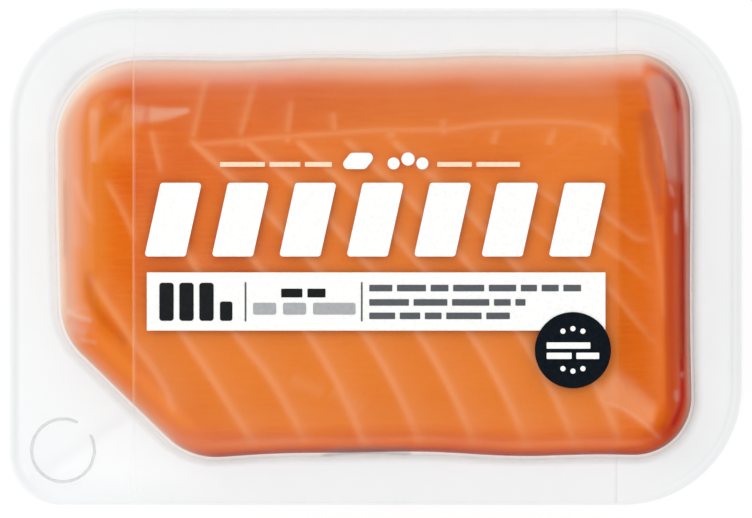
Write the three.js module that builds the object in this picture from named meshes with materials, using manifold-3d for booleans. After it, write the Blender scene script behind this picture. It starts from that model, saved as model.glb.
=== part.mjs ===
// A sealed clear pack that holds one salmon loin, lying flat with its printed side up.
// Units are millimetres. X runs along the pack, Y across it and Z up. The origin is under the tray's middle.
import * as THREE from 'three';
import { mergeVertices } from 'three/addons/utils/BufferGeometryUtils.js';
import Module from 'manifold-3d';

const wasm = await Module();
wasm.setup();

// Driving dimensions of the tray, the flat sheet under the loin. It is opened at its lower left corner.
const PACK_LENGTH = 118;
const PACK_WIDTH = 80;
const TRAY_THICKNESS = 0.8;
const RIM_THICKNESS = 0.5;
const RIM_WIDTH = 1.5;
const RIM_SLOPE = 0.3;
const EDGE_ROUNDING = 0.12;
const TRAY_CORNERS = [
  { x: PACK_LENGTH / 2, y: PACK_WIDTH / 2, radius: 19.6 },
  { x: -PACK_LENGTH / 2, y: PACK_WIDTH / 2, radius: 18.7 },
  { x: -PACK_LENGTH / 2, y: -PACK_WIDTH / 2, radius: 8.4 },
  { x: PACK_LENGTH / 2, y: -PACK_WIDTH / 2, radius: 19.2 },
];

// Driving dimensions of the loin: a block with rounded shoulders and its lower left corner cut off.
const LOIN_CORNERS = [
  { x: 50.4, y: 32.6, radius: 8.8 },
  { x: -51.2, y: 31.3, radius: 12.7 },
  { x: -50.6, y: -12.6, radius: 10.5 },
  { x: -29.8, y: -32.4, radius: 12 },
  { x: 50.9, y: -31.9, radius: 9.7 },
];
const LOIN_HEIGHT = 16.7;
const WIDEST_HEIGHT = 3.4;
const BASE_TUCK = 1.1;
const SHOULDER_REACH = 6.2;
const SHOULDER_EXTRA_AT_TOP = 0.9;
const CROWN_FALL_ALONG = 0.5;
const CROWN_FALL_ACROSS = 0.7;
const CROWN_WAVE = 0.16;
const CROWN_WAVE_LENGTH = 9;
const CROWN_WAVE_START = 1;
const EDGE_WAVE = 0.14;
const EDGE_WAVE_LENGTH = 4.2;
const LOWER_DENT = { middle: -2, depth: 0.85, reach: 18, facing: -0.9 };

// Thicknesses of the skins, and the clearance left between each skin and what it lies on.
const FILM_GAP = 0.3;
const FILM_THICKNESS = 0.25;
const FILM_INSET = 1.6;
const FOOT_REACH = 1.45;
const INNER_FOOT_SHARE = 0.75;
const LABEL_GAP = 0.25;
const LABEL_THICKNESS = 0.2;
const LABEL_HALF_LENGTH = 38.9;
const PRINT_GAP = 0.2;
const PRINT_THICKNESS = 0.2;

// The raised ring that marks the corner to peel, open towards the loin.
const PEEL_RING = { x: -50.3, y: -31.2, radius: 5.3, line: 0.5, rise: 0.2, openFrom: 31, openTo: 61 };

// The white panel and the round seal on the label.
const WEIGHT_PANEL = { x: 0.1, y: -7.2, length: 73.4, width: 9.3 };
const ROUND_SEAL = { x: 31.6, y: -15, radius: 6.1 };
const SEAL_CLEARANCE = 0.3;

// How far a cutting body reaches past what it cuts.
const CUT_MARGIN = 1;

// How finely round shapes are divided.
const ARC_STEP = Math.PI / 15;
const EDGE_STEP = 8;
const TUCK_STEPS = 2;
const FOOT_STEPS = 3;
const SHOULDER_STEPS = 6;
const CROWN_SCALES = [0.8, 0.5, 0.22];
const RING_SEGMENTS = 18;
const SEAL_SEGMENTS = 40;

// Sizes that follow from the driving dimensions.
const QUARTER_TURN = Math.PI / 2;
const LOIN_TOP = TRAY_THICKNESS + LOIN_HEIGHT;
const WIDEST = TRAY_THICKNESS + WIDEST_HEIGHT;
const LOIN_HALF_LENGTH = Math.max(...LOIN_CORNERS.map(({ x }) => x));
const LOIN_HALF_WIDTH = Math.max(...LOIN_CORNERS.map(({ y }) => y));
const FILM_OUTSIDE = FILM_GAP + FILM_THICKNESS;
const LABEL_INSIDE = FILM_OUTSIDE + LABEL_GAP;
const LABEL_OUTSIDE = LABEL_INSIDE + LABEL_THICKNESS;
const PRINT_INSIDE = LABEL_OUTSIDE + PRINT_GAP;
const PRINT_OUTSIDE = PRINT_INSIDE + PRINT_THICKNESS;
const ABOVE_ALL = LOIN_TOP + PRINT_OUTSIDE + CUT_MARGIN;
const MID_HEIGHT = LOIN_TOP / 2;

// Walks once round a polygon with rounded corners, counterclockwise. Each point keeps its outward direction,
// so that moving every point along it gives the same outline, larger or smaller, with as many points.
function roundedOutline(corners) {
  const arcs = corners.map((corner, index) => {
    const before = corners[(index + corners.length - 1) % corners.length];
    const after = corners[(index + 1) % corners.length];
    const point = new THREE.Vector2(corner.x, corner.y);
    const arriving = point.clone().sub(before).normalize();
    const leaving = new THREE.Vector2(after.x, after.y).sub(point).normalize();
    const start = Math.atan2(-arriving.x, arriving.y);
    const turn = Math.acos(arriving.dot(leaving));
    const middle = start + turn / 2;
    const inward = new THREE.Vector2(Math.cos(middle), Math.sin(middle));
    const centre = point.addScaledVector(inward, -corner.radius / Math.cos(turn / 2));
    return { centre, radius: corner.radius, start, turn };
  });
  const outline = [];
  arcs.forEach((arc, index) => {
    const steps = Math.ceil(arc.turn / ARC_STEP);
    for (let step = 0; step <= steps; step += 1) {
      const angle = arc.start + (arc.turn * step) / steps;
      const normal = new THREE.Vector2(Math.cos(angle), Math.sin(angle));
      outline.push({ point: arc.centre.clone().addScaledVector(normal, arc.radius), normal });
    }
    const last = outline[outline.length - 1];
    const next = arcs[(index + 1) % arcs.length];
    const landing = next.centre.clone().addScaledVector(last.normal, next.radius);
    const pieces = Math.round(last.point.distanceTo(landing) / EDGE_STEP);
    for (let piece = 1; piece < pieces; piece += 1) {
      outline.push({ point: last.point.clone().lerp(landing, piece / pieces), normal: last.normal });
    }
  });
  return outline;
}

// One closed ring round an outline, moved outward by a distance, at a height.
function levelRing(outline, outward, height) {
  return outline.map(({ point, normal }) => {
    const moved = point.clone().addScaledVector(normal, outward);
    return new THREE.Vector3(moved.x, moved.y, height);
  });
}

// Joins rings of equal count, the lowest first, into one closed body with a fan of triangles at each end.
function loft(rings, lowerCentre, upperCentre) {
  const count = rings[0].length;
  const points = rings.flat().concat([lowerCentre, upperCentre]);
  const lower = points.length - 2;
  const upper = points.length - 1;
  const lastRing = (rings.length - 1) * count;
  const index = [];
  for (let step = 0; step < count; step += 1) {
    const next = (step + 1) % count;
    index.push(lower, next, step);
    index.push(upper, lastRing + step, lastRing + next);
    for (let start = 0; start < lastRing; start += count) {
      index.push(start + step, start + next, start + count + next);
      index.push(start + step, start + count + next, start + count + step);
    }
  }
  const geometry = new THREE.BufferGeometry().setFromPoints(points);
  geometry.setIndex(index);
  return geometry;
}

// Turns a closed three.js geometry into a solid that can be joined and cut.
function toSolid(geometry) {
  const plain = geometry.clone();
  plain.deleteAttribute('normal');
  plain.deleteAttribute('uv');
  const merged = mergeVertices(plain);
  const vertProperties = merged.getAttribute('position').array;
  const triVerts = new Uint32Array(merged.getIndex().array);
  return new wasm.Manifold(new wasm.Mesh({ numProp: 3, vertProperties, triVerts }));
}

function toGeometry(solid) {
  const { vertProperties, triVerts } = solid.getMesh();
  const geometry = new THREE.BufferGeometry();
  geometry.setAttribute('position', new THREE.BufferAttribute(vertProperties, 3));
  geometry.setIndex(new THREE.BufferAttribute(triVerts, 1));
  return geometry;
}

// A flat upright block of a drawn shape, from one height to another.
function slab(shape, lowest, highest, curveSegments = 1) {
  const depth = highest - lowest;
  const geometry = new THREE.ExtrudeGeometry(shape, { depth, bevelEnabled: false, curveSegments });
  geometry.translate(0, 0, lowest);
  return toSolid(geometry);
}

function rectangle(x, y, length, width) {
  const corners = [[-1, -1], [1, -1], [1, 1], [-1, 1]];
  return new THREE.Shape(corners.map(([along, across]) => (
    new THREE.Vector2(x + (along * length) / 2, y + (across * width) / 2)
  )));
}

function disc(x, y, radius) {
  return new THREE.Shape().absarc(x, y, radius, 0, 2 * Math.PI, false);
}

// The loin's outline is a little uneven, and its lower edge is drawn in near the middle.
function unevenOutline() {
  return roundedOutline(LOIN_CORNERS).map(({ point, normal }) => {
    const wave = EDGE_WAVE * Math.sin(point.x / EDGE_WAVE_LENGTH + point.y / (2 * EDGE_WAVE_LENGTH));
    const along = (point.x - LOWER_DENT.middle) / LOWER_DENT.reach;
    const dent = normal.y < LOWER_DENT.facing ? LOWER_DENT.depth * Math.exp(-along * along) : 0;
    return { point: point.clone().addScaledVector(normal, wave - dent), normal };
  });
}

const loinOutline = unevenOutline();

// Height of the loin's upper face, gently crowned and slightly wavy.
function crownHeight(x, y) {
  const along = x / LOIN_HALF_LENGTH;
  const across = y / LOIN_HALF_WIDTH;
  const fall = CROWN_FALL_ALONG * along * along + CROWN_FALL_ACROSS * across * across;
  const swing = Math.sin(x / CROWN_WAVE_LENGTH + CROWN_WAVE_START);
  const wave = swing * Math.cos(y / CROWN_WAVE_LENGTH + x / (3 * CROWN_WAVE_LENGTH));
  return LOIN_TOP - fall + CROWN_WAVE * (wave - 1);
}

// The shoulder is a quarter of an ellipse from the widest line to the upper face. A skin lies outside it by
// an offset.
function shoulderRing(angle, offset) {
  return loinOutline.map(({ point, normal }) => {
    const reach = SHOULDER_REACH + SHOULDER_EXTRA_AT_TOP * normal.y;
    const inset = reach * (1 - Math.cos(angle));
    const bare = point.clone().addScaledVector(normal, -inset);
    const rise = crownHeight(bare.x, bare.y) - WIDEST;
    const facing = new THREE.Vector2(Math.cos(angle) / reach, Math.sin(angle) / rise).normalize();
    const moved = bare.addScaledVector(normal, offset * facing.x);
    return new THREE.Vector3(moved.x, moved.y, WIDEST + rise * Math.sin(angle) + offset * facing.y);
  });
}

// Rings of the shoulder and the upper face, the last ring being the smallest.
function upperRings(offset) {
  const rings = [];
  for (let step = 0; step <= SHOULDER_STEPS; step += 1) {
    rings.push(shoulderRing((QUARTER_TURN * step) / SHOULDER_STEPS, offset));
  }
  const shoulderEnd = rings[SHOULDER_STEPS];
  CROWN_SCALES.forEach((scale) => {
    rings.push(shoulderEnd.map(({ x, y }) => (
      new THREE.Vector3(x * scale, y * scale, crownHeight(x * scale, y * scale) + offset)
    )));
  });
  return rings;
}

function loinGeometry() {
  const rings = [];
  for (let step = TUCK_STEPS; step > 0; step -= 1) {
    const angle = (QUARTER_TURN * step) / TUCK_STEPS;
    const height = WIDEST - WIDEST_HEIGHT * Math.sin(angle);
    rings.push(levelRing(loinOutline, -BASE_TUCK * (1 - Math.cos(angle)), height));
  }
  rings.push(...upperRings(0));
  const under = new THREE.Vector3(0, 0, TRAY_THICKNESS);
  return loft(rings, under, new THREE.Vector3(0, 0, crownHeight(0, 0)));
}

// The body under a skin at an offset from the loin. The skin comes straight down from the widest line and
// flares into a foot, whose hollow curve ends flat on the sealed flange. The body goes on down to the floor.
function skinBody(offset, floor, footEnd) {
  const radius = FOOT_REACH - offset;
  const centre = TRAY_THICKNESS + FOOT_REACH - FILM_GAP;
  const rings = [levelRing(loinOutline, FOOT_REACH - radius * Math.cos(footEnd), floor)];
  for (let step = FOOT_STEPS; step >= 0; step -= 1) {
    const angle = (footEnd * step) / FOOT_STEPS;
    const outward = FOOT_REACH - radius * Math.cos(angle);
    rings.push(levelRing(loinOutline, outward, centre - radius * Math.sin(angle)));
  }
  rings.push(...upperRings(offset));
  const under = new THREE.Vector3(0, 0, floor);
  return toSolid(loft(rings, under, new THREE.Vector3(0, 0, crownHeight(0, 0) + offset)));
}

// A skin is the outer body joined to its flange, less the inner body. The inner foot stops short of flat, so
// that the skin has a blunt edge there and no knife edge.
function skin(inside, outside, flangeShape) {
  const underside = TRAY_THICKNESS + inside - FILM_GAP;
  const topside = TRAY_THICKNESS + outside - FILM_GAP;
  const outer = skinBody(outside, underside, QUARTER_TURN);
  const inner = skinBody(inside, underside - CUT_MARGIN, QUARTER_TURN * INNER_FOOT_SHARE);
  return outer.add(slab(flangeShape, underside, topside)).subtract(inner);
}

const trayOutline = roundedOutline(TRAY_CORNERS);

// A thin sheet with rounded edges. The rim outside the seal is thinner than the rest.
function trayGeometry() {
  const levels = [
    [-EDGE_ROUNDING, 0],
    [0, EDGE_ROUNDING],
    [0, RIM_THICKNESS - EDGE_ROUNDING],
    [-EDGE_ROUNDING, RIM_THICKNESS],
    [RIM_SLOPE - RIM_WIDTH, RIM_THICKNESS],
    [-RIM_WIDTH, TRAY_THICKNESS],
  ];
  const rings = levels.map(([outward, height]) => levelRing(trayOutline, outward, height));
  return loft(rings, new THREE.Vector3(0, 0, 0), new THREE.Vector3(0, 0, TRAY_THICKNESS));
}

function peelRing() {
  const { x, y, radius, line, rise, openFrom, openTo } = PEEL_RING;
  const start = THREE.MathUtils.degToRad(openTo);
  const end = THREE.MathUtils.degToRad(openFrom + 360);
  const shape = new THREE.Shape();
  shape.absarc(x, y, radius, start, end, false);
  shape.absarc(x, y, radius - line, end, start, true);
  const filmTop = TRAY_THICKNESS + FILM_THICKNESS;
  return slab(shape, TRAY_THICKNESS + FILM_THICKNESS / 2, filmTop + rise, RING_SEGMENTS);
}

function filmGeometry() {
  const edge = trayOutline.map(({ point, normal }) => point.clone().addScaledVector(normal, -FILM_INSET));
  const film = skin(FILM_GAP, FILM_OUTSIDE, new THREE.Shape(edge));
  return toGeometry(film.add(peelRing()));
}

// A clear band of label film, laid over the pack from its upper edge to its lower edge.
function labelGeometry() {
  const width = PACK_WIDTH - 2 * FILM_INSET;
  const band = rectangle(0, 0, 2 * LABEL_HALF_LENGTH, width);
  const everything = skin(LABEL_INSIDE, LABEL_OUTSIDE, band);
  return toGeometry(everything.intersect(slab(band, 0, ABOVE_ALL)));
}

// A thin printed piece of the given plan, lying on the label.
function printGeometry(plan) {
  const outer = skinBody(PRINT_OUTSIDE, 0, QUARTER_TURN);
  const inner = skinBody(PRINT_INSIDE, -CUT_MARGIN, QUARTER_TURN);
  return toGeometry(outer.subtract(inner).intersect(plan));
}

function panelPlan() {
  const { x, y, length, width } = WEIGHT_PANEL;
  const room = disc(ROUND_SEAL.x, ROUND_SEAL.y, ROUND_SEAL.radius + SEAL_CLEARANCE);
  return slab(rectangle(x, y, length, width), MID_HEIGHT, ABOVE_ALL)
    .subtract(slab(room, 0, ABOVE_ALL + CUT_MARGIN, SEAL_SEGMENTS / 2));
}

function sealPlan() {
  const { x, y, radius } = ROUND_SEAL;
  return slab(disc(x, y, radius), MID_HEIGHT, ABOVE_ALL, SEAL_SEGMENTS / 2);
}

const clearTray = new THREE.MeshStandardMaterial({ color: 0xf2f3f4, roughness: 0.2, metalness: 0 });
const salmon = new THREE.MeshStandardMaterial({ color: 0xe27433, roughness: 0.45, metalness: 0 });
const clearFilm = new THREE.MeshStandardMaterial({
  color: 0xf4f6f7, roughness: 0.12, metalness: 0, transparent: true, opacity: 0.25,
});
const labelFilm = new THREE.MeshStandardMaterial({
  color: 0xffffff, roughness: 0.15, metalness: 0, transparent: true, opacity: 0.15,
});
const whitePrint = new THREE.MeshStandardMaterial({ color: 0xfafafa, roughness: 0.4, metalness: 0 });
const darkPrint = new THREE.MeshStandardMaterial({ color: 0x0d1826, roughness: 0.4, metalness: 0 });

const pack = new THREE.Group();

function addPiece(name, geometry, material) {
  geometry.computeVertexNormals();
  const mesh = new THREE.Mesh(geometry, material);
  mesh.name = name;
  pack.add(mesh);
}

addPiece('tray', trayGeometry(), clearTray);
addPiece('salmon_loin', loinGeometry(), salmon);
addPiece('cover_film', filmGeometry(), clearFilm);
addPiece('label_band', labelGeometry(), labelFilm);
addPiece('weight_panel', printGeometry(panelPlan()), whitePrint);
addPiece('round_seal', printGeometry(sealPlan()), darkPrint);

export default pack;
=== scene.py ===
"""Looks of a sealed clear pack that holds one salmon loin, lying flat with its printed side up.

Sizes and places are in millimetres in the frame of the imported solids: X along the pack, Y across it
and Z up. Meshes are turned into metres where they are made.
"""

import math

import bmesh
import bpy
import numpy as np
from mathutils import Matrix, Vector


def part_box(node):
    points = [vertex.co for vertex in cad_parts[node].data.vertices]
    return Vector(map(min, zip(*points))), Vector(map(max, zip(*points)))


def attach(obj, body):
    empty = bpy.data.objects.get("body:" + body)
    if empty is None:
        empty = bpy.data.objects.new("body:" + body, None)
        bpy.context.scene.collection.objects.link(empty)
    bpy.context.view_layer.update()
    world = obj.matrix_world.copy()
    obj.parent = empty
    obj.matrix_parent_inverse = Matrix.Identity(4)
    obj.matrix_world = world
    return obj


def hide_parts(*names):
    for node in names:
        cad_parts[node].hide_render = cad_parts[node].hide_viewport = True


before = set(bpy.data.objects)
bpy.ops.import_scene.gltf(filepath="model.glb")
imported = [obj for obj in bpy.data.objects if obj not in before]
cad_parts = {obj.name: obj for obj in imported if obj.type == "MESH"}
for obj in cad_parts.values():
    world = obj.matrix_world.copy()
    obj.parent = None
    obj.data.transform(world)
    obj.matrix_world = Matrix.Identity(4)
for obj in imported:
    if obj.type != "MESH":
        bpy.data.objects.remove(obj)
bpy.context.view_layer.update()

MM = 0.001
QUARTER_TURN = math.pi / 2

# The tray's sizes come from its solid. Its corners have these radii, from the upper right one round.
tray_low, tray_high = (np.array(corner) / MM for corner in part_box("tray"))
PACK_LENGTH, PACK_WIDTH, TRAY_THICKNESS = tray_high - tray_low
TRAY_CORNERS = (
    (PACK_LENGTH / 2, PACK_WIDTH / 2, 19.6),
    (-PACK_LENGTH / 2, PACK_WIDTH / 2, 18.7),
    (-PACK_LENGTH / 2, -PACK_WIDTH / 2, 8.4),
    (PACK_LENGTH / 2, -PACK_WIDTH / 2, 19.2),
)
RIM_THICKNESS = 0.5
RIM_WIDTH = 1.5
RIM_SLOPE = 0.3
EDGE_ROUNDING = 0.12

# The loin, as its solid is made: corners with their radii, then the profile of its sides and upper face.
LOIN_CORNERS = (
    (50.4, 32.6, 8.8),
    (-51.2, 31.3, 12.7),
    (-50.6, -12.6, 10.5),
    (-29.8, -32.4, 12),
    (50.9, -31.9, 9.7),
)
LOIN_HALF_LENGTH = 50.9
LOIN_HALF_WIDTH = 32.6
LOIN_TOP = TRAY_THICKNESS + 16.7
WIDEST = TRAY_THICKNESS + 3.4
BASE_TUCK = 1.1
BASE = TRAY_THICKNESS + 0.03
SHOULDER_REACH = 6.2
SHOULDER_EXTRA_AT_TOP = 0.9
CROWN_FALL_ALONG = 0.5
CROWN_FALL_ACROSS = 0.7
CROWN_WAVE = 0.16
CROWN_WAVE_LENGTH = 9
CROWN_WAVE_START = 1
EDGE_WAVE = 0.14
EDGE_WAVE_LENGTH = 4.2
DENT_MIDDLE = -2
DENT_DEPTH = 0.85
DENT_REACH = 18
DENT_FACING = (-0.8, -0.97)

# Skins lie outside the loin by these offsets, inside and outside face.
FILM = (0.33, 0.55)
LABEL = (0.62, 1.0)
FILM_GAP = 0.3
FOOT_REACH = 1.45
FILM_INSET = 1.6
LABEL_INSET = 0.35
LABEL_HALF_LENGTH = 38.9
LABEL_DROP = 0.57

# How finely the meshes are divided. A flange's rings lie closer together towards its foot.
OUTLINE_STEP = 0.5
BASE_STEPS = 5
SHOULDER_STEPS = 24
CROWN_STEPS = 116
HIDDEN_FACE_STEPS = (10, 12)
FOOT_STEPS = 7
FLANGE_STEPS = 14
FLANGE_CROWDING = 1.6
PRINT_STEP = 2


def direction(angle):
    return np.array((math.cos(angle), math.sin(angle)))


def unit(vector):
    return vector / np.linalg.norm(vector)


def rounded_outline(corners, step):
    """Points along a polygon with rounded corners, counterclockwise, and the outward direction at each."""
    arcs = []
    for index, (x, y, radius) in enumerate(corners):
        corner = np.array((x, y), float)
        arriving = unit(corner - corners[index - 1][:2])
        leaving = unit(corners[(index + 1) % len(corners)][:2] - corner)
        start = math.atan2(-arriving[0], arriving[1])
        turn = math.acos(arriving @ leaving)
        centre = corner - direction(start + turn / 2) * radius / math.cos(turn / 2)
        arcs.append((centre, radius, start, turn))
    points, normals = [], []
    for index, (centre, radius, start, turn) in enumerate(arcs):
        angles = start + turn * np.linspace(0, 1, math.ceil(turn * radius / step) + 1)
        facing = np.column_stack([np.cos(angles), np.sin(angles)])
        arc = centre + radius * facing
        next_centre, next_radius, _, _ = arcs[(index + 1) % len(arcs)]
        landing = next_centre + next_radius * facing[-1]
        pieces = max(1, round(np.linalg.norm(landing - arc[-1]) / step))
        shares = np.arange(1, pieces)[:, None] / pieces
        points += [arc, arc[-1] + shares * (landing - arc[-1])]
        normals += [facing, np.repeat(facing[-1:], pieces - 1, axis=0)]
    return np.vstack(points), np.vstack(normals)


def degrees(ways):
    """The angle of each outward direction, from 0 to 360."""
    return np.degrees(np.arctan2(ways[:, 1], ways[:, 0])) % 360


def smoothstep(low, high, value):
    share = np.clip((value - low) / (high - low), 0, 1)
    return share * share * (3 - 2 * share)


def loin_outline():
    """The loin's widest line, a little uneven and drawn in near the middle of its lower edge."""
    points, normals = rounded_outline(LOIN_CORNERS, OUTLINE_STEP)
    x, y = points.T
    wave = EDGE_WAVE * np.sin(x / EDGE_WAVE_LENGTH + y / (2 * EDGE_WAVE_LENGTH))
    dent = DENT_DEPTH * np.exp(-(((x - DENT_MIDDLE) / DENT_REACH) ** 2))
    outward = wave - dent * smoothstep(*DENT_FACING, normals[:, 1])
    return points + normals * outward[:, None], normals


def matched(points, outline):
    """The point of a closed outline that lies in the same direction from the middle as each given point."""
    angles = np.arctan2(outline[:, 1], outline[:, 0])
    order = np.argsort(angles)
    wanted = np.arctan2(points[:, 1], points[:, 0])
    return np.column_stack([
        np.interp(wanted, angles[order], outline[order, axis], period=2 * math.pi) for axis in (0, 1)
    ])


LOIN_EDGE, LOIN_FACING = loin_outline()
LOIN_ANGLES = degrees(LOIN_FACING)
TRAY_EDGE, TRAY_FACING = rounded_outline(TRAY_CORNERS, OUTLINE_STEP)


def crown_height(x, y):
    """Height of the loin's upper face, gently crowned and slightly wavy."""
    fall = CROWN_FALL_ALONG * (x / LOIN_HALF_LENGTH) ** 2 + CROWN_FALL_ACROSS * (y / LOIN_HALF_WIDTH) ** 2
    swing = np.sin(x / CROWN_WAVE_LENGTH + CROWN_WAVE_START)
    wave = swing * np.cos(y / CROWN_WAVE_LENGTH + x / (3 * CROWN_WAVE_LENGTH))
    return LOIN_TOP - fall + CROWN_WAVE * (wave - 1)


def raised(points, height):
    return np.column_stack([points, np.broadcast_to(height, len(points))])


def shoulder_ring(angle, offset):
    """One ring of the shoulder, at an offset outside the loin, with its inset from the widest line."""
    reach = SHOULDER_REACH + SHOULDER_EXTRA_AT_TOP * LOIN_FACING[:, 1]
    inset = reach * (1 - math.cos(angle))
    bare = LOIN_EDGE - LOIN_FACING * inset[:, None]
    rise = crown_height(*bare.T) - WIDEST
    tilt = np.arctan2(math.sin(angle) / rise, math.cos(angle) / reach)
    moved = bare + LOIN_FACING * (offset * np.cos(tilt))[:, None]
    height = WIDEST + rise * math.sin(angle) + offset * np.sin(tilt)
    return raised(moved, height), inset - offset * np.cos(tilt)


def upper_rings(offset, shoulder_steps=SHOULDER_STEPS, crown_steps=CROWN_STEPS):
    """Rings of the shoulder and the upper face, each with its inset from the widest line."""
    rings = [shoulder_ring(angle, offset) for angle in np.linspace(0, QUARTER_TURN, shoulder_steps + 1)]
    end, reach = rings[-1]
    depth = (end[:, :2] * LOIN_FACING).sum(axis=1)
    for scale in np.linspace(1, 0, crown_steps + 1)[1:-1]:
        places = end[:, :2] * scale
        rings.append((raised(places, crown_height(*places.T) + offset), reach + (1 - scale) * depth))
    return rings


def lower_rings(offset, edge):
    """Rings of a skin from its outer edge over the flange and up the hollow foot, with negative insets."""
    radius = FOOT_REACH - offset
    centre = TRAY_THICKNESS + FOOT_REACH - FILM_GAP
    foot = []
    for angle in np.linspace(QUARTER_TURN, 0, FOOT_STEPS + 1):
        outward = FOOT_REACH - radius * math.cos(angle)
        places = LOIN_EDGE + LOIN_FACING * outward
        foot.append((raised(places, centre - radius * math.sin(angle)), np.full(len(places), -outward)))
    start = foot[0][0]
    far = matched(start[:, :2], edge)
    flange = []
    for share in np.linspace(1, 0, FLANGE_STEPS + 1)[:-1] ** FLANGE_CROWDING:
        places = start[:, :2] + (far - start[:, :2]) * share
        gap = np.linalg.norm(places - start[:, :2], axis=1)
        flange.append((raised(places, start[0, 2]), -FOOT_REACH - gap))
    return flange + foot


def lifted(ring, rise):
    """A ring of points moved up, all by one rise or each by its own."""
    return ring + np.column_stack([np.zeros((len(ring), 2)), np.broadcast_to(rise, len(ring))])


def lofted(name, rings, first, last):
    """A closed mesh through rings of equal count, the lowest first, with a fan at each end."""
    count = len(rings[0])
    index = np.arange(len(rings) * count).reshape(len(rings), count)
    turned = np.roll(index, -1, axis=1)
    walls = np.stack([index[:-1], turned[:-1], turned[1:], index[1:]], axis=-1).reshape(-1, 4)
    low_tip, high_tip = index.size, index.size + 1
    fans = [(low_tip, b, a) for a, b in zip(index[0], turned[0])]
    fans += [(high_tip, a, b) for a, b in zip(index[-1], turned[-1])]
    points = np.vstack([*rings, first, last])
    mesh = bpy.data.meshes.new(name)
    mesh.from_pydata((points * MM).tolist(), [], walls.tolist() + fans)
    mesh.shade_smooth()
    return points, placed(name, mesh)


def placed(name, data):
    thing = bpy.data.objects.new(name, data)
    bpy.context.scene.collection.objects.link(thing)
    return thing


def divided(work, place, way, **options):
    """Cut a mesh along a plane through a place, and give the edges and points of the cut."""
    everything = work.verts[:] + work.edges[:] + work.faces[:]
    made = bmesh.ops.bisect_plane(work, geom=everything, plane_co=place, plane_no=way, **options)
    return made["geom_cut"]


def put_attribute(thing, name, values):
    layer = thing.data.attributes.new(name, "FLOAT", "POINT")
    layer.data.foreach_set("value", np.asarray(values, np.float32))


def belongs(thing, material_slot, *nodes):
    """The piece rides on the pack and stands for the given solids, which it hides; its material slot is not
    used.
    """
    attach(thing, "root")
    if nodes:
        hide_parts(*nodes)
    return thing


# Strokes: soft lines and patches along a smooth path.


def smooth_path(points, per_span=8):
    """Points along a smooth curve through the given ones."""
    given = np.array(points, float)
    given = np.vstack([2 * given[0] - given[1], given, 2 * given[-1] - given[-2]])
    t = np.linspace(0, 1, per_span, endpoint=False)[:, None]
    spans = [
        0.5 * (2 * b + (c - a) * t + (2 * a - 5 * b + 4 * c - d) * t**2 + (3 * b - a - 3 * c + d) * t**3)
        for a, b, c, d in zip(given, given[1:], given[2:], given[3:])
    ]
    return np.vstack([*spans, given[-2]])


def from_path(places, path):
    """Each place's distance from a path, positive on its left, and its share of the way along it."""
    steps = np.diff(path, axis=0)
    lengths = np.linalg.norm(steps, axis=1)
    nearest = np.full(len(places), np.inf)
    signed = np.full(len(places), np.inf)
    along = np.zeros(len(places))
    done = 0
    for start, step, length in zip(path, steps, lengths):
        relative = places - start
        share = np.clip(relative @ step / length**2, 0, 1)
        distance = np.linalg.norm(relative - share[:, None] * step, axis=1)
        closer = distance < nearest
        side = np.sign(step[0] * relative[:, 1] - step[1] * relative[:, 0])
        nearest[closer] = distance[closer]
        signed[closer] = (distance * side)[closer]
        along[closer] = (done + share * length)[closer] / lengths.sum()
        done += length
    return signed, along


def stroked(places, points, right_width, left_width, start_fade=0.12, end_fade=0.12, end_share=1, crisp=2):
    """A soft stroke: 1 on its path, falling off by each side's half width and fading at its ends."""
    path = smooth_path(points)
    widest = 3 * max(right_width, left_width) * max(1, end_share)
    near = ((places > path.min(axis=0) - widest) & (places < path.max(axis=0) + widest)).all(axis=1)
    value = np.zeros(len(places))
    signed, along = from_path(places[near], path)
    width = np.where(signed > 0, left_width, right_width) * (1 + (end_share - 1) * along)
    ends = smoothstep(0, start_fade, along) * smoothstep(0, end_fade, 1 - along)
    value[near] = np.exp(-(np.abs(signed / width) ** crisp)) * ends
    return value


def marked(places, mark, crisp=2):
    """The soft stroke of a mark: its path, and its half width at the start and end."""
    path, width, end_width = mark
    return stroked(places, path, width, width, end_share=end_width / width, crisp=crisp)


def by_side(inset, angles, profiles):
    """A value for every point of many rings, from its inset and the angle that its part faces."""
    value = np.zeros(len(inset))
    for facing, profile in profiles.items():
        weight = np.interp(angles, tuple(profiles), [other == facing for other in profiles], period=360)
        value += np.tile(weight, len(inset) // len(weight)) * np.interp(inset, *zip(*profile))
    return value


# Materials.


def shown(red, green, blue):
    """The linear colour for one written as it shows on a screen."""
    parts = np.array((red, green, blue)) / 255
    linear = np.where(parts <= 0.04045, parts / 12.92, ((parts + 0.055) / 1.055) ** 2.4)
    return (*linear.tolist(), 1)


def new_material(name):
    material = bpy.data.materials.new(name)
    material.use_nodes = True
    material.node_tree.nodes.clear()
    return material, material.node_tree


def node(tree, kind, inputs=None, **settings):
    """A node with its inputs set, each from a value or from another node's output."""
    made = tree.nodes.new("ShaderNode" + kind)
    for name, value in settings.items():
        setattr(made, name, value)
    for name, value in (inputs or {}).items():
        if isinstance(value, bpy.types.NodeSocket):
            tree.links.new(value, made.inputs[name])
        else:
            made.inputs[name].default_value = value
    return made


def attribute(tree, name):
    return node(tree, "Attribute", attribute_name=name).outputs["Fac"]


def maths(tree, operation, first, second, clamp=False):
    return node(tree, "Math", {0: first, 1: second}, operation=operation, use_clamp=clamp).outputs[0]


def blend(tree, share, first, second):
    """One colour turned into another by a share."""
    return node(tree, "Mix", {0: share, 6: first, 7: second}, data_type="RGBA").outputs[2]


def ranged(tree, value, low, high, to_low, to_high):
    inputs = {0: value, 1: low, 2: high, 3: to_low, 4: to_high}
    return node(tree, "MapRange", inputs).outputs[0]


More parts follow.
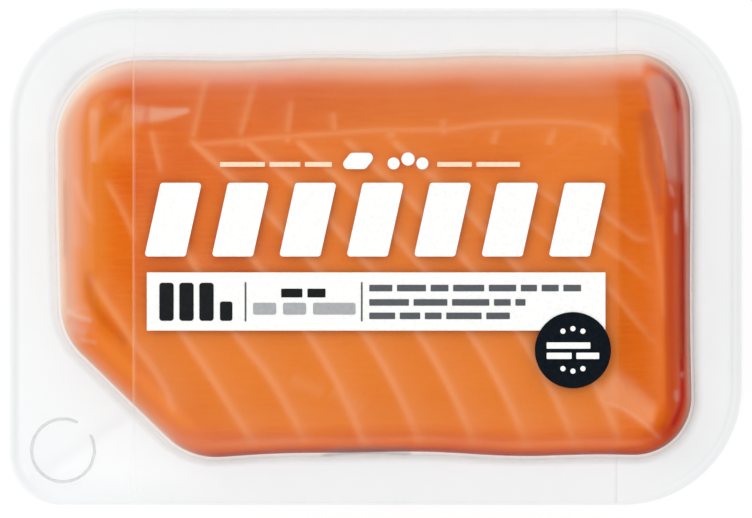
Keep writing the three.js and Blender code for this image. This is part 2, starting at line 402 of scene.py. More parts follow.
def noise(tree, size, stretch=(1, 1, 1), detail=3, distortion=0.0):
    """Smooth noise whose bumps are about a size across, in millimetres, longer where it is stretched."""
    place = node(tree, "TexCoord").outputs["Object"]
    scaled = node(tree, "Mapping", {"Vector": place, "Scale": [1 / (size * MM * part) for part in stretch]})
    inputs = {"Vector": scaled.outputs[0], "Scale": 1.0, "Detail": detail, "Distortion": distortion}
    return node(tree, "TexNoise", inputs).outputs[0]


def bump(tree, height, strength, depth):
    return node(tree, "Bump", {"Height": height, "Strength": strength, "Distance": depth * MM}).outputs[0]


def mixed_shader(tree, share, first, second):
    """One shader turned into another by a share."""
    return node(tree, "MixShader", {0: share, 1: first.outputs[0], 2: second.outputs[0]})


def solid_shader(tree, colour, roughness, specular, normal):
    """An opaque surface with its gloss and bumps."""
    inputs = {"Base Color": colour, "Roughness": roughness, "Normal": normal}
    return node(tree, "BsdfPrincipled", {**inputs, "Specular IOR Level": specular})


def finish_material(tree, shader):
    output = tree.nodes.new("ShaderNodeOutputMaterial")
    tree.links.new(shader.outputs[0], output.inputs["Surface"])


def salmon_material():
    """Moist raw flesh: orange, paler along the lines between the flakes, with painted highlights where the
    film catches light and painted shade in deep red on the right and lower sides.
    """
    material, tree = new_material("salmon_flesh")
    cloud = noise(tree, 14, stretch=(1.6, 1, 1), detail=2)
    fibre = noise(tree, 0.5, stretch=(9, 1, 1), detail=4, distortion=0.4)
    speck = noise(tree, 0.9, detail=5)
    flesh = blend(tree, ranged(tree, cloud, 0.35, 0.65, 0, 1), shown(233, 115, 22), shown(223, 99, 15))
    flesh = blend(tree, attribute(tree, "yellow"), flesh, shown(234, 133, 34))
    flesh = blend(tree, ranged(tree, fibre, 0.4, 0.75, 0, 0.32), flesh, shown(238, 132, 46))
    flesh = blend(tree, ranged(tree, speck, 0.62, 0.75, 0, 0.25), flesh, shown(214, 82, 18))
    flesh = blend(tree, attribute(tree, "line"), flesh, shown(242, 154, 96))
    # Painted shade: the flesh turns deep red where its right and lower sides and the film's folds lie in
    # shade.
    flesh = blend(tree, attribute(tree, "painted_flesh_shade"), flesh, shown(165, 13, 4))
    # Painted highlight: a pale veil where the film over the shoulders and folds catches light.
    painted_highlight = attribute(tree, "painted_highlight")
    painted_highlight_colour = blend(tree, ranged(tree, painted_highlight, 0.2, 0.9, 0, 1), (0.68, 0.64, 0.52, 1), (0.96, 0.9, 0.75, 1))
    flesh = blend(tree, painted_highlight, flesh, painted_highlight_colour)
    height = maths(tree, "ADD", maths(tree, "MULTIPLY", fibre, 0.6), maths(tree, "MULTIPLY", speck, 0.4))
    roughness = ranged(tree, speck, 0.3, 0.7, 0.32, 0.5)
    finish_material(tree, solid_shader(tree, flesh, roughness, 0.01, bump(tree, height, 0.25, 0.1)))
    return material


def film_material(name, milk, roughness, index, wrinkle_size, wrinkle):
    """Clear film with a gloss over it, milky by its own haze and by painted highlights, and greyer by a
    tint and by painted shade.
    """
    material, tree = new_material(name)
    tint_and_painted_shade = attribute(tree, "tint_and_painted_shade")
    milk = blend(tree, attribute(tree, "warm"), (0.93, 0.94, 0.95, 1), milk)
    # Painted shade: the film darkens to grey where shade is painted on it.
    clear = node(tree, "BsdfTransparent", {"Color": blend(tree, tint_and_painted_shade, (1, 1, 1, 1), (0.12, 0.12, 0.13, 1))})
    milky = node(tree, "BsdfDiffuse", {"Color": blend(tree, tint_and_painted_shade, milk, (0.3, 0.28, 0.28, 1))})
    # Milky where the film is hazy and where highlights are painted on it.
    body = mixed_shader(tree, attribute(tree, "milk_and_painted_highlight"), clear, milky)
    ripple = bump(tree, noise(tree, wrinkle_size, detail=2), wrinkle, 0.15)
    gloss = node(tree, "BsdfGlossy", {"Roughness": roughness, "Normal": ripple})
    slant = node(tree, "LayerWeight", {"Blend": 0.5, "Normal": ripple}).outputs["Facing"]
    head_on = ((index - 1) / (index + 1)) ** 2
    fresnel = ranged(tree, maths(tree, "POWER", slant, 5), 0, 1, head_on, 1)
    share = maths(tree, "MULTIPLY", fresnel, attribute(tree, "gloss"), clamp=True)
    finish_material(tree, mixed_shader(tree, share, body, gloss))
    return material


def tray_material():
    """Pale translucent sheet with a soft grain, clearer at its thin rim, and greyer where shade is painted
    on its rim.
    """
    material, tree = new_material("clear_tray")
    grain = noise(tree, 1.2, detail=4)
    tint_and_painted_shade = attribute(tree, "tint_and_painted_shade")
    # Painted shade on the rim lines darkens the sheet.
    pale = blend(tree, tint_and_painted_shade, shown(252, 252, 252), shown(120, 124, 128))
    roughness = ranged(tree, grain, 0.3, 0.7, 0.16, 0.26)
    solid = solid_shader(tree, pale, roughness, 0.3, bump(tree, grain, 0.05, 0.05))
    tint = blend(tree, tint_and_painted_shade, (0.98, 0.987, 0.991, 1), (0.4, 0.4, 0.4, 1))
    clear = node(tree, "BsdfTransparent", {"Color": tint})
    finish_material(tree, mixed_shader(tree, attribute(tree, "milk_and_painted_highlight"), clear, solid))
    return material


def ink_material(name, colour, roughness):
    """Printed ink, very slightly uneven in tone and gloss."""
    material, tree = new_material(name)
    mottle = noise(tree, 0.6, detail=4)
    lighter = [min(1, part * 1.12 + 0.002) for part in colour]
    tone = blend(tree, ranged(tree, mottle, 0.35, 0.7, 0, 1), colour, lighter)
    uneven = ranged(tree, mottle, 0.3, 0.7, roughness - 0.06, roughness + 0.06)
    finish_material(tree, solid_shader(tree, tone, uneven, 0.1, bump(tree, mottle, 0.04, 0.02)))
    return material


# The loin, with its flake lines.

MIDLINE = (
    (-31.5, 17.8), (-21.8, 18.5), (-14.1, 19.2), (-6.5, 19.7), (0.1, 20.2), (11.7, 20.4),
    (17.5, 21.2), (27.1, 21.6), (33.7, 21.2), (37.1, 19.7), (40.6, 15.1),
)
# Below the midline most flake lines are one curve: its place on the midline and how far below it starts.
FLAKE_LINES = ((-38.2, 14), (-29.2, -1), (-20.5, -1), (-12.2, -1), (-4.4, -1), (3.0, -1))
FLAKE_LEVEL = 18.1
FLAKE_SLANT = 1.145
FLAKE_BEND = 0.00815
FLAKE_POINTS = 10
# The lower left flake lines bend less.
LOWER_LINES = (
    ((-46.3, -2.5), (-43.1, -7.3), (-41, -10.4), (-38.6, -14.1), (-36.2, -17.2), (-33.6, -21.5),
     (-32, -26.3)),
    ((-36.5, -4), (-30.3, -13.4), (-27.8, -17.1), (-25, -21.5), (-22.2, -25.9), (-18.9, -31)),
    ((-31, 2), (-25.5, -8), (-21.4, -13.8), (-17.8, -18.3), (-15.2, -22.3), (-12.6, -27.1), (-10.6, -31)),
)
# Fainter lines of the left and right parts and above the midline.
OTHER_LINES = (
    ((-36.1, 20.7), (-34.2, 12.6)),
    ((-43.5, 12.7), (-41.5, 9.1), (-39.5, 5.1), (-38.3, 1.5)),
    ((-48.4, 13), (-46.8, 8.3), (-44.8, 4.3)),
    ((34.9, 9.1), (36.5, 6.8), (39.4, 4.6), (41.9, 2.8), (45.2, 2.7)),
    ((21.7, 13.1), (28.6, 8.9), (34, 3.6), (37.8, 0.7), (39.7, -0.6), (41.9, -2.5), (45.3, -5.6)),
    ((14.9, 13.6), (20.8, 8.5), (28.9, 2.0), (33.7, -1.9), (38.1, -6), (41, -9.6), (43.9, -13.1),
     (46.6, -16.6)),
    ((-29.4, 18.1), (-26.8, 29.7)),
    ((-21.8, 18.6), (-19.1, 28.6)),
    ((-14.1, 19.2), (-13.3, 25.8)),
    ((-6.4, 19.7), (-6.8, 23.6)),
    ((10.9, 20.0), (11.0, 22.3)),
    ((18.9, 17.8), (19.7, 20.7)),
    ((27.8, 17.6), (28.9, 20.8)),
    ((36.6, 17.6), (37.1, 20.4)),
)
# A line and its pale tail: strength, half width on the right and left, and the fade at the start and end.
MIDLINE_LOOK = ((0.5, 0.45, 0.45, 0.05, 0.05), (0.18, 1.6, 1.2, 0.12, 0.12))
FLAKE_LOOK = ((0.72, 0.45, 0.8, 0.03, 0.15), (0.24, 0.9, 3.2, 0.1, 0.1))
FAINT_LOOK = ((0.5, 0.4, 0.6, 0.15, 0.25), (0.15, 0.6, 2, 0.2, 0.3))
LINE_RELIEF = 0.1
SPOT_STRENGTH = 0.7
# Pale fatty spots where lines meet: place and half width.
SPOTS = ((-28.8, 17.8, 0.6), (-21.3, 18.3, 0.7), (-14.1, 18.8, 0.6), (2.5, 19.5, 0.8), (10.9, 20.2, 0.7),
         (37.1, 19.9, 0.9))

# Painted shade: the flesh is painted deep red on its right and lower shoulders, where less light falls, by
# the inset from the widest line, for the angles that a side faces.
PAINTED_FLESH_SHADE_BY_SIDE = {
    0: ((0, 0.95), (0.3, 0.8), (0.65, 0.6), (1.1, 0.74), (1.4, 0.8), (2.1, 0.7), (2.6, 0.68), (3.1, 0.7),
        (3.6, 0.66), (4.1, 0.56), (4.6, 0.18), (5.2, 0.12), (6.5, 0.17), (11, 0.17), (12.5, 0.05), (16, 0)),
    45: ((0, 0.9), (0.5, 0.75), (0.9, 0.3), (1.35, 0.7), (1.8, 0.9), (2.3, 0.66), (2.8, 0.34), (5, 0.25),
         (7, 0.2), (11, 0.16), (14, 0)),
    84: ((0, 0.45), (0.5, 0), (3, 0.02), (3.8, 0.12), (4.5, 0.23), (5.2, 0.3), (6.5, 0.23), (8, 0.16),
         (10, 0.09), (14, 0)),
    135: ((0, 0.1), (1, 0), (2, 0.02), (4, 0.03), (5, 0.06), (5.6, 0.14), (6.4, 0.1), (10, 0.03), (14, 0)),
    180: ((0, 0), (1, 0.06), (1.4, 0.14), (1.9, 0.08), (2.5, 0.02), (3.3, 0.03), (4.2, 0.08), (5, 0.05),
          (6, 0.07), (10, 0.03), (16, 0)),
    226: ((0, 0.12), (0.6, 0.1), (2.2, 0.2), (3.1, 0.1), (4, 0.04), (5, 0.14), (7, 0.08), (9, 0.03),
          (12, 0)),
    270: ((0, 0.8), (0.3, 0.78), (0.6, 0.68), (0.9, 0.5), (1.2, 0.38), (1.6, 0.24), (2.2, 0.16),
          (2.7, 0.26), (3.4, 0.2), (5, 0.12), (8, 0.05), (12, 0)),
    315: ((0, 0.85), (0.6, 0.74), (1, 0.74), (1.5, 0.85), (1.9, 0.82), (2.4, 0.68), (2.9, 0.56), (3.4, 0.4),
          (4.3, 0.18), (4.8, 0.1), (5.6, 0.05), (8, 0.05), (12, 0.03), (16, 0)),
}
# Paths that painted highlights and painted shade on the flesh share with folds of the film.
LEFT_FOLD = ((-45.9, -1.5), (-45.8, -5.4), (-45, -8), (-42.9, -10.8), (-41.1, -12.6))
UPPER_LEFT_BAR = ((-45, 24.2), (-45, 19.5), (-45.2, 14.6))
UPPER_RIGHT_FACET = ((44.8, 30.2), (45.9, 25.2), (46.9, 17.5), (47.6, 11))
LOWER_RIGHT_WEDGE = ((36.5, -20), (40.5, -22.6), (43.4, -25), (45.4, -25.6))
LOWER_RIGHT_CREASE = ((36.1, -23.3), (39.2, -24.1), (42.6, -26.3), (45, -28.6), (46.4, -29.5))
# Painted shade in single dark red strokes on the flesh, along folds of the film, its right edge and the
# dent: path, half width at its start and end, and strength.
PAINTED_SHADE_STROKES = (
    (((43.9, 31.0), (45.2, 30.7), (46.3, 29.5), (47.3, 28.2), (48.0, 26.4), (48.35, 24.4), (48.5, 21.2),
      (48.7, 17), (49, 12.5), (49.3, 5), (49.35, -4), (49.4, -14), (49.2, -22)), 0.36, 0.42, 1),
    (((43.1, 28.8), (43.5, 26), (44.5, 22.8), (45.5, 18.1), (46.1, 14)), 0.45, 0.35, 0.45),
    (((43.2, 25), (44, 18), (45, 12), (46.1, 5)), 1.9, 1.1, 0.42),
    (((49, -15), (49.2, -20), (49.1, -23), (48.2, -25.9), (46.9, -28.3)), 0.8, 1.1, 1),
    (UPPER_RIGHT_FACET, 2.2, 0.6, 0.42),
    (((36, -31), (40, -30.9), (43.4, -30.4), (45.6, -29.4)), 0.5, 0.7, 0.6),
    (((-43.9, 25.5), (-42.3, 22)), 0.4, 0.3, 0.2),
    (((-46.6, 6), (-46.6, 16), (-46.4, 22.5), (-44.3, 26), (-38, 26.4), (-30, 26.2)), 0.7, 0.8, 0.12),
    ((*LEFT_FOLD, (-39.4, -15)), 1.2, 0.9, 0.33),
    (((41.8, 17), (42.2, 8), (42.6, 1)), 2, 1.6, 0.14),
)
# Pale patches on the flesh, most of them painted highlights where folds and facets of the film catch light:
# path, half width at its start and end, strength, and how sharp its sides are.
PALE_AND_HIGHLIGHT_PATCHES = (
    (((-40.6, 23.3), (-37, 22.5)), 1.6, 1.5, 0.62, 2),
    (((-36.6, 22.8), (-33.4, 22.8), (-29.4, 23.5)), 1.5, 0.35, 0.85, 3),
    (((-43, 17.6), (-38, 17.4)), 2.3, 2.3, 0.25, 2),
    (((-42.2, 24.6), (-39.8, 23)), 1.3, 1.2, 0.4, 2),
    (((-38.4, 22.2), (-41.4, 20), (-43.6, 17.6), (-45, 14.8)), 1.3, 0.7, 0.5, 2),
    (UPPER_LEFT_BAR, 0.95, 0.45, 0.5, 4),
    (((-13.8, -19.4), (-8, -22)), 1.1, 1.1, 0.3, 2),
    (((-7, -21), (-2, -25)), 1.6, 1.6, 0.25, 2),
    (LOWER_RIGHT_WEDGE, 2.9, 1.9, 0.68, 3),
    (LOWER_RIGHT_CREASE, 0.4, 0.35, 0.55, 2),
    (((42.6, 21), (42.8, 14), (43.9, 9.4), (44.8, 3.6), (45.7, -2.2), (46.1, -8),
      (46.6, -12)), 0.45, 0.5, 0.35, 2),
)


def flake_path(start, first_fall):
    """A flake line from near the midline down to the loin's lower edge."""
    fall = np.linspace(first_fall, FLAKE_LEVEL + LOIN_HALF_WIDTH, FLAKE_POINTS)
    across = start + FLAKE_SLANT * fall - FLAKE_BEND * fall**2
    return np.column_stack([across, FLAKE_LEVEL - fall])


def line_strength(places):
    """How strong the lines between the flakes are, and how pale the flesh is there and in its patches,
    which are mostly painted highlights.
    """
    flakes = LOWER_LINES + tuple(flake_path(*line) for line in FLAKE_LINES)
    value, tail = np.zeros((2, len(places)))
    for paths, looks in (((MIDLINE,), MIDLINE_LOOK), (flakes, FLAKE_LOOK), (OTHER_LINES, FAINT_LOOK)):
        for path in paths:
            line, pale_side = (strength * stroked(places, path, *form) for strength, *form in looks)
            value = np.maximum(value, line)
            tail = np.maximum(tail, pale_side)
    for x, y, width in SPOTS:
        away = np.linalg.norm(places - (x, y), axis=1)
        value = np.maximum(value, SPOT_STRENGTH * np.exp(-((away / width) ** 2)))
    pale = value + tail * (1 - value)
    # Pale patches, most of them painted highlights of the film's folds and facets.
    for *mark, strength, crisp in PALE_AND_HIGHLIGHT_PATCHES:
        pale = pale + (1 - pale) * strength * marked(places, mark, crisp)
    return value, np.clip(pale, 0, 1)


def yellowness(places):
    """How yellow the flesh is: most of all below, on the left shoulder and in the middle."""
    x, y = places.T
    below = 0.65 * smoothstep(4, -20, y) * (1 - 0.8 * smoothstep(-26, -29.5, y))
    middle = 0.4 * smoothstep(-25, 0, x) * smoothstep(-20, 4, y)
    right = 1 - 0.7 * smoothstep(37.5, 40.5, x)
    left_shoulder = 0.85 * smoothstep(-40.5, -45.5, x) * smoothstep(-14, -8, y)
    return np.maximum((below + middle) * right, left_shoulder)


def salmon_loin():
    """The block of fish, from its base to the crown, a little raised along its lines."""
    rings = []
    for angle in np.linspace(QUARTER_TURN, 0, BASE_STEPS + 1)[:-1]:
        tuck = BASE_TUCK * (1 - math.cos(angle))
        height = WIDEST - (WIDEST - BASE) * math.sin(angle)
        rings.append((raised(LOIN_EDGE - LOIN_FACING * tuck, height), np.full(len(LOIN_EDGE), tuck / 2)))
    rings += upper_rings(0)
    inset = np.concatenate([inset for _, inset in rings])
    places = np.vstack([ring[:, :2] for ring, _ in rings])
    # Pale lines between the flakes, and pale patches that are mostly painted highlights.
    line, pale = line_strength(places)
    relief = (LINE_RELIEF * line).reshape(len(rings), -1)
    relief[: BASE_STEPS + SHOULDER_STEPS // 2 + 1] = 0
    skin = [lifted(ring, rise) for (ring, _), rise in zip(rings, relief)]
    _, loin = lofted("salmon_flesh", skin, (0, 0, BASE), (0, 0, crown_height(0, 0)))
    # Painted shade along the right and lower shoulders and the dark strokes.
    painted_flesh_shade = by_side(inset, LOIN_ANGLES, PAINTED_FLESH_SHADE_BY_SIDE)
    for *mark, strength in PAINTED_SHADE_STROKES:
        painted_flesh_shade = np.maximum(painted_flesh_shade, strength * marked(places, mark))
    milk_and_painted_highlight, _ = film_milk_and_highlight(places, inset)
    # The film's painted highlight beyond its own milkiness goes into the flesh as a pale veil.
    painted_highlight = 1 - ((1 - np.maximum(milk_and_painted_highlight, FILM_MILK)) / (1 - FILM_MILK)) ** 2
    # All of it fades out below the widest line, so the underside is plain flesh.
    kept = np.repeat(np.minimum(np.arange(len(rings)) / BASE_STEPS, 1), len(LOIN_EDGE))
    looks = {"line": pale, "painted_flesh_shade": painted_flesh_shade, "yellow": yellowness(places), "painted_highlight": painted_highlight}
    for name, values in looks.items():
        put_attribute(loin, name, np.append(kept * values, (0, 0)))
    loin.data.materials.append(salmon_material())
    return belongs(loin, "salmon_flesh", "salmon_loin")


# The film over the loin.

# Painted highlight: the film is painted milky-white where its shoulders catch light, most on the upper and
# left sides, by the inset from the loin's widest line, for the angles that a side faces.
FILM_HIGHLIGHT_BY_SIDE = {
    0: ((-1.5, 0), (-0.6, 0.1), (-0.2, 0.22), (0.1, 0.2), (0.4, 0.22), (0.65, 0.15), (0.9, 0.06),
        (1.15, 0.02), (1.4, 0), (1.8, 0.01), (2.2, 0.035), (2.6, 0.03), (3, 0.01), (4.2, 0.01), (5, 0.02),
        (6, 0.02), (8, 0)),
    45: ((-1.5, 0), (-0.7, 0.4), (-0.1, 0.5), (0.4, 0.34), (0.9, 0.28), (1.35, 0.08), (1.8, 0.02),
         (3, 0.06), (6, 0.04), (8, 0.01)),
    74: ((-1.5, 0), (-0.6, 0.5), (0, 0.48), (0.7, 0.36), (1.2, 0.24), (2, 0.09), (4, 0.05), (6, 0.03),
         (8, 0)),
    84: ((-1.5, 0), (-0.6, 0.52), (0, 0.5), (0.6, 0.43), (1.3, 0.38), (1.9, 0.3), (2.9, 0.21), (3.5, 0.14),
         (4.1, 0.08), (4.6, 0.04), (5.2, 0.02), (6, 0.01), (8, 0.02), (13, 0)),
    110: ((-1.5, 0), (-0.6, 0.55), (0, 0.54), (0.6, 0.47), (1.3, 0.41), (1.9, 0.33), (2.9, 0.21),
          (3.5, 0.13), (4.6, 0.04), (5.2, 0.02), (6, 0.01), (11, 0)),
    135: ((-2, 0), (-1.6, 0.25), (-1.1, 0.46), (-0.5, 0.62), (-0.1, 0.64), (0.3, 0.6), (0.75, 0.5),
          (1.2, 0.38), (2.1, 0.22), (3, 0.12), (3.6, 0.08), (5, 0.03), (8, 0)),
    180: ((-1.6, 0), (-1, 0.15), (-0.5, 0.48), (0, 0.54), (0.9, 0.36), (1.4, 0.29), (2.4, 0.25),
          (3.3, 0.175), (5, 0.06), (6, 0.02), (9, 0)),
    226: ((-1.5, 0), (-1.1, 0.18), (-0.8, 0.42), (-0.5, 0.53), (-0.1, 0.43), (0.2, 0.27), (0.6, 0.15),
          (1.2, 0.06), (2.2, 0.02), (3.2, 0.01), (4, 0.02), (5, 0.01), (9, 0)),
    270: ((-1.5, 0), (-0.9, 0.1), (-0.4, 0.25), (-0.1, 0.18), (0.2, 0.06), (0.5, 0.01), (0.9, 0),
          (1.5, 0.02), (2, 0.05), (3.2, 0.01), (7, 0.01), (8, 0)),
    315: ((-1.3, 0), (-0.7, 0.4), (-0.3, 0.45), (0.1, 0.15), (0.6, 0.04), (1, 0)),
}
# Painted shade: the film is painted grey at its foot, most on the right and lower sides where the loin's
# shadow falls, in the same way.
PAINTED_FILM_SHADE_BY_SIDE = {
    0: ((-2.1, 0), (-1.45, 0.08), (-1.05, 0.17), (-0.65, 0.32), (-0.3, 0.38), (0, 0.24), (0.4, 0.04),
        (0.7, 0)),
    45: ((-1.8, 0), (-1.2, 0.06), (-0.6, 0.08), (-0.1, 0.18), (0.4, 0.2), (0.8, 0.05), (1.2, 0)),
    90: ((-1.5, 0), (-0.7, 0.04), (-0.2, 0.1), (0.2, 0.06), (0.6, 0.01), (1.8, 0.04), (4.2, 0.045),
         (6, 0.01), (7, 0)),
    135: ((-2.4, 0), (-2, 0.1), (-1.5, 0.13), (-0.8, 0.06), (0, 0.01), (0.6, 0), (1.4, 0.04), (2.6, 0.05),
          (7, 0.04), (9, 0.02), (13, 0)),
    180: ((-2, 0), (-1.5, 0.08), (-1, 0.11), (-0.1, 0), (0.4, 0.01), (1, 0.035), (5, 0.035), (7, 0.01),
          (9, 0)),
    226: ((-2, 0), (-1.5, 0.09), (-1.1, 0.14), (-0.6, 0.13), (-0.2, 0.08), (0.6, 0.02), (1.4, 0)),
    270: ((-2, 0), (-1.5, 0.05), (-1.15, 0.13), (-0.8, 0.23), (-0.45, 0.25), (-0.1, 0.15), (0.2, 0.04),
          (0.5, 0)),
    315: ((-2, 0), (-1.3, 0.1), (-0.8, 0.2), (-0.3, 0.28), (0.1, 0.14), (0.6, 0.02), (0.9, 0)),
}
# Gloss of the film's shoulder by the angle that it faces.
GLOSS_BY_ANGLE = ((0, 0.03), (45, 0.15), (80, 0.5), (190, 0.5), (226, 0.25), (255, 0.08), (315, 0.02))
# Soft creases with painted highlights and painted shade: path, half width at its start and end, then the
# strength of the painted highlight and of the painted shade.
FILM_STROKES = (
    (((48.2, 28.6), (49.3, 25), (49.7, 20), (49.8, 12), (49.9, 4)), 0.45, 0.3, 0.24, 0),
    (((-46.5, 8), (-46.6, 16), (-46.3, 22.5), (-44.3, 26), (-38, 26.6)), 0.6, 0.6, -0.05, 0),
    (LEFT_FOLD, 1.1, 0.9, -0.06, 0),
    (((-47.6, 2), (-47.4, -4), (-46.8, -8.4)), 1.6, 1.4, -0.07, 0),
    (((-49.9, 13), (-49.8, 5), (-49.9, -1)), 0.35, 0.3, -0.04, 0.16),
    (((-49.8, -8.6), (-47.6, -9.6), (-45.2, -10.4)), 0.6, 0.4, 0.16, 0),
    (((-49.3, -10.9), (-46.2, -12.4)), 1, 0.9, 0.1, 0),
    (((-47.6, -13.2), (-44.4, -13.9)), 0.45, 0.4, 0.09, 0),
    (((43.9, 25.3), (45.1, 21.2), (46.1, 17.9), (46.8, 14)), 0.25, 0.2, 0.1, 0),
    (((47.2, 11.8), (47.6, 9.6)), 0.35, 0.3, 0.15, 0),
    (((48.1, 7.5), (48.1, 3.5)), 0.35, 0.3, 0.12, 0),
    (LOWER_RIGHT_CREASE, 0.45, 0.3, 0.04, 0),
    (((48.5, 21.2), (48.8, 12.5), (49.2, 3), (49.25, -14), (49, -20)), 0.5, 0.5, 0, 0.2),
    (((43.4, 24), (44.2, 17), (45.3, 9)), 2, 1.3, 0.02, 0.06),
    (((48.3, 24), (48.9, 17), (49, 11)), 0.6, 0.5, 0.07, 0),
    (((46, 29.8), (47.3, 28.2), (48, 26.4), (48.35, 23.4)), 0.45, 0.45, 0, 0.14),
    (((48.2, -21.2), (48.2, -23.3)), 0.4, 0.4, 0.12, 0),
    (((49.2, -18.4), (49.0, -19.7)), 0.3, 0.3, 0.12, 0),
    (((-20.5, 30.8), (-16.7, 31.3)), 0.3, 0.25, 0.1, 0),
    (((-12.2, 31.3), (-8.6, 31.6)), 0.3, 0.2, 0.1, 0),
    (((-10, -32.1), (-2, -31.55), (7, -31.8)), 0.45, 0.45, 0, 0.5),
    (((-9, -31.2), (-2, -30.8), (6, -30.9)), 0.7, 0.6, 0.05, 0),
    (((-36, -28), (-24, -29.6), (-10, -29.6)), 1.6, 1.3, 0.03, 0),
    (((14, 27.9), (27, 27.5), (39, 27.2)), 1.5, 1.5, 0.05, 0),
)
# Facets of the drawn film with painted highlights, with sharper sides, written in the same way.
FILM_FACETS = (
    (((-39.6, 22.9), (-35.5, 22.7), (-29.4, 23.5)), 1.7, 0.4, 0.12, 0),
    (UPPER_LEFT_BAR, 0.95, 0.45, 0.06, 0),
    (UPPER_RIGHT_FACET, 2.2, 0.7, 0.16, 0.08),
    (LOWER_RIGHT_WEDGE, 2.9, 1.9, 0.04, 0),
)
CREASE_CRISPNESS = 2
FACET_CRISPNESS = 5
# The film itself is no milkier than this, and the flesh carries the rest of the painted highlight as a pale
# bloom.
FILM_MILK = 0.2
FILM_LEAST_HAZE = 0.002
CREASE_RELIEF = 0.25


def film_milk_and_highlight(places, inset):
    """How milky the film looks from above at each place, mostly painted highlight, and how strongly it is
    creased there.
    """
    milk_and_painted_highlight = by_side(inset, LOIN_ANGLES, FILM_HIGHLIGHT_BY_SIDE)
    crease = np.zeros(len(places))
    for folds, crisp in ((FILM_STROKES, CREASE_CRISPNESS), (FILM_FACETS, FACET_CRISPNESS)):
        for *fold, milk, _ in folds:
            milky = milk * marked(places, fold, crisp)
            milk_and_painted_highlight = milk_and_painted_highlight + milky * (1 - milk_and_painted_highlight)
            crease = np.maximum(crease, milky)
    return np.maximum(milk_and_painted_highlight, 0), crease


def side_gloss(inset):
    """The gloss of each point: full on the crown and weaker on the shoulders."""
    gloss = np.interp(LOIN_ANGLES, *zip(*GLOSS_BY_ANGLE), period=360)
    return 1 - (1 - np.tile(gloss, len(inset) // len(gloss))) * smoothstep(8, 4, inset)


def painted_film_shade(places, inset):
    """How grey the film is painted as shade, from above at each place."""
    grey = by_side(inset, LOIN_ANGLES, PAINTED_FILM_SHADE_BY_SIDE)
    for *fold, _, tint_and_painted_shade in FILM_STROKES + FILM_FACETS:
        grey = np.maximum(grey, tint_and_painted_shade * marked(places, fold))
    return grey


def skin_rings(offset, edge, whole):
    """Rings of one face of a skin from its outer edge to the middle of the crown."""
    steps = (SHOULDER_STEPS, CROWN_STEPS) if whole else HIDDEN_FACE_STEPS
    return lower_rings(offset, edge) + upper_rings(offset, *steps)


def cover_film():
    """The film as a thin closed shell. Only its outer face is milky or glossy."""
    edge = TRAY_EDGE - TRAY_FACING * FILM_INSET
    inner = skin_rings(FILM[0], edge, False)[::-1]
    outer = skin_rings(FILM[1], edge, True)
    places = np.vstack([ring[:, :2] for ring, _ in outer])
    inset = np.concatenate([inset for _, inset in outer])
    # Painted highlight on the film's shoulders and creases, with its own slight milkiness.
    milk_and_painted_highlight, crease = film_milk_and_highlight(places, inset)
    milk_and_painted_highlight = np.minimum(milk_and_painted_highlight, FILM_MILK)
    # Painted shade at the film's foot and along some creases.
    grey = painted_film_shade(places, inset)
    gloss = side_gloss(inset)
    relief = (CREASE_RELIEF * crease * smoothstep(3, 6, inset)).reshape(len(outer), -1)
    rings = [ring for ring, _ in inner]
    rings += [lifted(ring, rise) for (ring, _), rise in zip(outer, relief)]
    _, film = lofted("film_skin", rings, *[(0, 0, crown_height(0, 0) + offset) for offset in FILM])
    inside = np.zeros(sum(len(ring) for ring, _ in inner))
    warm = smoothstep(-1.1, -0.5, inset) * (1 - 0.6 * smoothstep(-0.2, 0.4, inset))
    looks = {"milk_and_painted_highlight": milk_and_painted_highlight + FILM_LEAST_HAZE, "tint_and_painted_shade": grey, "gloss": gloss, "warm": warm}
    for name, values in looks.items():
        put_attribute(film, name, np.concatenate([inside, values, (0, values[-1])]))
    film.data.materials.append(film_material("cover_film", (1, 0.76, 0.58, 1), 0.1, 1.3, 5, 0.25))
    return belongs(film, "cover_film", "cover_film")


# The open ring that marks the peel corner.

PEEL_RING_PLACE = (-50.3, -31.2)
PEEL_RING_RADIUS = 5.05
PEEL_RING_LINE = 0.25
PEEL_RING_OPEN = (31, 61)
PEEL_RING_STEPS = 90
PEEL_RING_SIDES = 10


def peel_ring():
    """A low rounded bead on the film, open towards the loin, with rounded ends."""
    open_from, open_to = np.radians(PEEL_RING_OPEN)
    angles = np.linspace(open_to, open_from + 2 * math.pi, PEEL_RING_STEPS)
    base = TRAY_THICKNESS + FILM[1] - FILM_GAP
    rings = []
    for angle in angles:
        ends = min(angle - angles[0], angles[-1] - angle) * PEEL_RING_RADIUS / PEEL_RING_LINE
        girth = PEEL_RING_LINE * math.sqrt(max(0.02, 1 - (1 - min(1, ends)) ** 2))
        turn = np.linspace(0, 2 * math.pi, PEEL_RING_SIDES, endpoint=False)
        away = PEEL_RING_RADIUS + girth * np.cos(turn)
        rings.append(np.column_stack([
            PEEL_RING_PLACE[0] + away * math.cos(angle),
            PEEL_RING_PLACE[1] + away * math.sin(angle),
            base + girth * np.sin(turn),
        ]))
    points, ring = lofted("peel_ring", rings, rings[0].mean(axis=0), rings[-1].mean(axis=0))
    for name, value in (("milk_and_painted_highlight", 0.06), ("tint_and_painted_shade", 0.13), ("gloss", 0.3), ("warm", 0)):
        put_attribute(ring, name, np.full(len(points), value))
    ring.data.materials.append(film_material("peel_ring", (0.8, 0.8, 0.81, 1), 0.15, 1.4, 3, 0.1))
    return belongs(ring, "cover_film")


# The clear label band.

LABEL_HAZE = 0.02
# The band's cut edges: the left one carries a painted highlight, stronger over the loin, and the right one
# a painted grey shade beside it.
LABEL_EDGE_WIDTH = 0.22
LABEL_EDGE_HIGHLIGHT = 0.05
LABEL_EDGE_HIGHLIGHT_OVER_LOIN = 0.3
LABEL_EDGE_SHADE = 0.12


